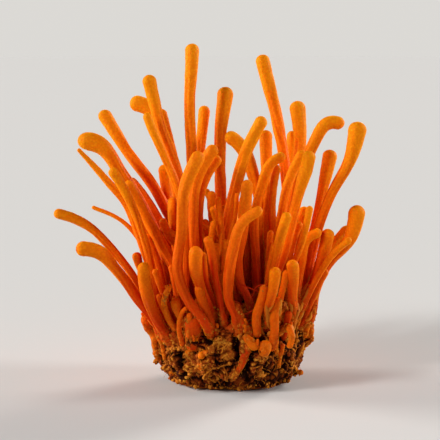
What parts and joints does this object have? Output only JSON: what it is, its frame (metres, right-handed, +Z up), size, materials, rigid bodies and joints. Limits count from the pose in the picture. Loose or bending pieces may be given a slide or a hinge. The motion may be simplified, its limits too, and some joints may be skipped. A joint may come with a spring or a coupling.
{
  "type": "cordyceps bunch",
  "caption": "Bunch of cultivated cordyceps: slender orange clubs with rounded heads that fan out from a crumbly brown block of mycelium, which rests on its flat cut underside.",
  "frame": {"origin": "middle of the flat cut underside of the block of mycelium", "axes": "+Z up, the way the clubs grow; +X to the viewer's right and +Y away from the viewer as in the picture"},
  "size_m": [0.0767, 0.0564, 0.0853],
  "materials": {
    "orange_flesh": "matt, velvety",
    "deep_orange_flesh": "matt, velvety",
    "pale_orange_flesh": "matt, velvety",
    "mycelium": "rough, crumbly"
  },
  "bodies": {
    "root": {"mycelium_base": "mycelium", "club_left_1": "orange_flesh", "club_left_2": "orange_flesh", "club_left_3": "orange_flesh", "club_left_4": "orange_flesh", "club_left_5": "orange_flesh", "club_left_6": "orange_flesh", "club_left_7": "orange_flesh", "club_left_8": "orange_flesh", "club_left_9": "orange_flesh", "club_left_10": "orange_flesh", "club_left_11": "orange_flesh", "club_centre_1": "orange_flesh", "club_centre_2": "orange_flesh", "club_centre_3": "orange_flesh", "club_centre_4": "orange_flesh", "club_centre_5": "orange_flesh", "club_centre_6": "orange_flesh", "club_centre_7": "orange_flesh", "club_centre_8": "orange_flesh", "club_centre_9": "orange_flesh", "club_centre_10": "orange_flesh", "club_centre_11": "orange_flesh", "club_centre_12": "orange_flesh", "club_centre_13": "orange_flesh", "club_centre_14": "orange_flesh", "club_front_1": "deep_orange_flesh", "club_front_2": "deep_orange_flesh", "club_front_3": "deep_orange_flesh", "club_front_4": "deep_orange_flesh", "club_front_5": "deep_orange_flesh", "club_front_6": "deep_orange_flesh", "club_front_7": "deep_orange_flesh", "club_front_8": "deep_orange_flesh", "club_right_1": "orange_flesh", "club_right_2": "orange_flesh", "club_right_3": "orange_flesh", "club_right_4": "orange_flesh", "club_right_5": "orange_flesh", "club_right_6": "orange_flesh", "club_right_7": "orange_flesh", "club_right_8": "orange_flesh", "club_right_9": "orange_flesh", "club_right_10": "orange_flesh", "club_right_11": "orange_flesh", "club_right_12": "orange_flesh", "club_right_13": "orange_flesh", "club_right_14": "orange_flesh", "club_right_15": "orange_flesh", "club_right_16": "orange_flesh", "club_right_17": "orange_flesh", "club_right_18": "orange_flesh", "club_right_19": "orange_flesh", "club_back_1": "pale_orange_flesh", "club_back_2": "pale_orange_flesh", "club_back_3": "pale_orange_flesh", "club_back_4": "pale_orange_flesh", "club_back_5": "pale_orange_flesh", "club_back_6": "pale_orange_flesh", "club_back_7": "pale_orange_flesh"}
  },
  "joints": []
}
